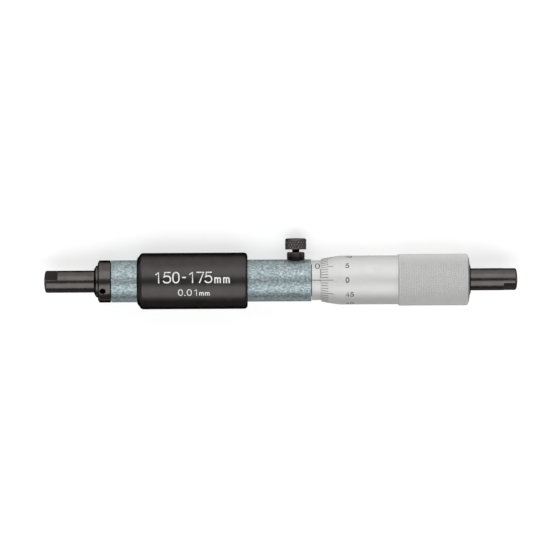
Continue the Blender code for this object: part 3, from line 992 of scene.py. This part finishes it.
def make_spindle():
    """The spindle: the thimble's taper and nut thread, the long measuring thread, and a plain guide."""
    hole = 1.8
    collar = 3.4
    taper = 4.4
    taper_end = 3.6
    neck = 2.85
    thread_r = 3.15
    guide = 3.25
    guide_start = 49.6
    guide_end = 82.1
    thread = 83.2
    thread_end = 123.6
    taper_start = 124.7
    hole_start = 125.4
    shape = turned([
        (hole_start, 0, 0), (hole_start, hole, 0), (SPINDLE_END, hole, 0.05),
        (SPINDLE_END, collar, 0.1), (TAPER_END, collar, 0), (TAPER_END, taper_end, 0.05),
        (TAPER, taper, 0.05), (taper_start, taper, 0.1), (taper_start, neck, 0.1),
        (thread_end + 0.1, neck, 0), *thread_rows(thread_end, thread, thread_r, FINE_PITCH),
        (thread - 0.1, neck, 0), (guide_end, neck, 0), (guide_end, guide, 0.05), (66, guide, 0),
        (guide_start + 0.3, guide, 0), (guide_start, guide - 0.3, 0), (guide_start, 0, 0),
    ], 32, closed=False)
    threaded(shape, thread, thread_end, thread_r, FINE_PITCH, 0.25)
    piece("spindle_screw", shape, GROUND, "thimble_group", ["spindle"])


def make_moving_rod():
    """The rod at the measuring end, screwed into the spindle by a thin threaded shank."""
    shank = 1.6
    shank_end = 125.7
    thread = 125.9
    thread_end = 133.2
    end = [(LENGTH - along, radius, rounding) for along, radius, rounding in reversed(rod_end())]
    shape = turned([
        *end, (MOVING_ROD, ROD_R, 0.1), (MOVING_ROD, shank, 0),
        *thread_rows(thread_end, thread, shank, FINE_PITCH), (shank_end, shank - 0.2, 0),
        (shank_end, 0, 0),
    ], 96, closed=False)
    threaded(shape, thread, thread_end, shank, FINE_PITCH, 0.18)
    shape = wrench_flats(shape, LENGTH - FLAT_LENGTH / 2, MOVING_FLATS)
    # The flats take the darker black, which is painted shade.
    flats = (BLACKED_PAINTED_SHADE, flat_faces(MOVING_FLATS))
    piece("moving_rod", shape, BLACKED, "thimble_group", ["moving_anvil"], second=flats)


# The table, the light and the camera.

# The table and the lamps are given in metres and the camera's place in the instrument's millimetres. The
# room's two heights are shares of straight up, between which its white turns to grey.
TABLE_SIZE = 8
TABLE_GREY = 0.5
TABLE_LIFT = 0.62
ROOM_GREY = 0.14
LOW_SKY = 0.03
LOW_SKY_END = 0.12
LAMP_AWAY = 0.6
LAMP_LENGTH = 1.2
LENS = 400
FILM = 36
VIEW_ALONG = 74.76
VIEW_ACROSS = 0.14
VIEW_AWAY = 1971.2
VIEW_ROLL = 0.34


def placed(along, way, out):
    """A place given in the instrument's own millimetres."""
    return PLACE @ Vector((along, way, out))


def make_table():
    """A pale table. What looks at it straight or by a reflection sees it lifted to white."""
    shape = bmesh.new()
    bmesh.ops.create_grid(shape, x_segments=1, y_segments=1, size=TABLE_SIZE)
    mesh = bpy.data.meshes.new("table")
    shape.to_mesh(mesh)
    shape.free()
    table = bpy.data.objects.new("table", mesh)
    bpy.context.scene.collection.objects.link(table)
    material = bpy.data.materials.new("table_white")
    material.use_nodes = True
    nodes = material.node_tree.nodes
    links = material.node_tree.links
    shader = nodes["Principled BSDF"]
    shader.inputs["Base Color"].default_value = (TABLE_GREY, TABLE_GREY, TABLE_GREY, 1)
    shader.inputs["Roughness"].default_value = 0.9
    shader.inputs["Specular IOR Level"].default_value = 0.1
    rays = nodes.new("ShaderNodeLightPath")
    seen = rays.outputs["Is Camera Ray"]
    for kind in ("Is Glossy Ray", "Is Transmission Ray"):
        either = nodes.new("ShaderNodeMath")
        either.operation = "MAXIMUM"
        links.new(seen, either.inputs[0])
        links.new(rays.outputs[kind], either.inputs[1])
        seen = either.outputs["Value"]
    lift = nodes.new("ShaderNodeMath")
    lift.operation = "MULTIPLY"
    lift.inputs[1].default_value = TABLE_LIFT
    links.new(seen, lift.inputs[0])
    shader.inputs["Emission Color"].default_value = (1, 1, 1, 1)
    links.new(lift.outputs["Value"], shader.inputs["Emission Strength"])
    mesh.materials.append(material)


def make_lamp(name, angle, width, radiance):
    """A long soft lamp beside the view, so many degrees toward the clamp from straight above the datum."""
    lamp = bpy.data.lights.new(name, "AREA")
    lamp.shape = "RECTANGLE"
    lamp.size = LAMP_LENGTH
    lamp.size_y = width
    lamp.energy = radiance * math.pi * LAMP_LENGTH * width
    obj = bpy.data.objects.new(name, lamp)
    bpy.context.scene.collection.objects.link(obj)
    way = DATUM_WAY * math.cos(math.radians(angle)) + CLAMP_WAY * math.sin(math.radians(angle))
    up = way.cross(ALONG)
    turn = Matrix((ALONG, -up, way)).transposed().to_4x4()
    obj.matrix_world = Matrix.Translation(placed(LENGTH / 2, 0, 0) + way * LAMP_AWAY) @ turn
    obj.visible_camera = False


def make_camera():
    """A long lens from far away, looking square at the datum line, and rolled a little as in the photo."""
    camera = bpy.data.cameras.new("camera")
    camera.lens = LENS
    camera.sensor_width = FILM
    camera.clip_start = 0.05
    camera.clip_end = 30
    obj = bpy.data.objects.new("camera", camera)
    bpy.context.scene.collection.objects.link(obj)
    roll = math.radians(VIEW_ROLL)
    right = ALONG * math.cos(roll) - CLAMP_WAY * math.sin(roll)
    up = DATUM_WAY.cross(right)
    turn = Matrix((right, up, DATUM_WAY)).transposed().to_4x4()
    obj.matrix_world = Matrix.Translation(placed(VIEW_ALONG, VIEW_ACROSS, VIEW_AWAY)) @ turn
    bpy.context.scene.camera = obj


def set_room():
    """A dim room that is white only low round the table."""
    world = bpy.data.worlds.new("room")
    world.use_nodes = True
    nodes = world.node_tree.nodes
    links = world.node_tree.links
    parts = nodes.new("ShaderNodeSeparateXYZ")
    links.new(nodes.new("ShaderNodeTexCoord").outputs["Generated"], parts.inputs["Vector"])
    shade = nodes.new("ShaderNodeMapRange")
    shade.inputs["From Min"].default_value = LOW_SKY
    shade.inputs["From Max"].default_value = LOW_SKY_END
    shade.inputs["To Min"].default_value = 1.0
    shade.inputs["To Max"].default_value = ROOM_GREY
    links.new(parts.outputs["Z"], shade.inputs["Value"])
    links.new(shade.outputs["Result"], nodes["Background"].inputs["Strength"])
    nodes["Background"].inputs["Color"].default_value = (1, 1, 1, 1)
    bpy.context.scene.world = world


make_tube()
make_grip()
make_grip_print()
make_scale_sleeve()
make_scale()
finish_hidden_pieces()
make_clamp_bush()
make_clamp_screw()
make_clamp_pad()
make_fixed_rod()
make_tip("fixed_tip", "fixed_contact", mirror=False)
make_ring()
make_thimble()
make_thimble_marks()
make_end_nut()
make_spindle()
make_moving_rod()
make_tip("moving_tip", "moving_contact", mirror=True)
make_table()
make_lamp("lamp_clamp_side", angle=36, width=0.49, radiance=1.65)
make_lamp("lamp_far_side", angle=-44, width=0.59, radiance=1.75)
make_camera()
set_room()
bpy.context.scene.view_settings.view_transform = "Standard"
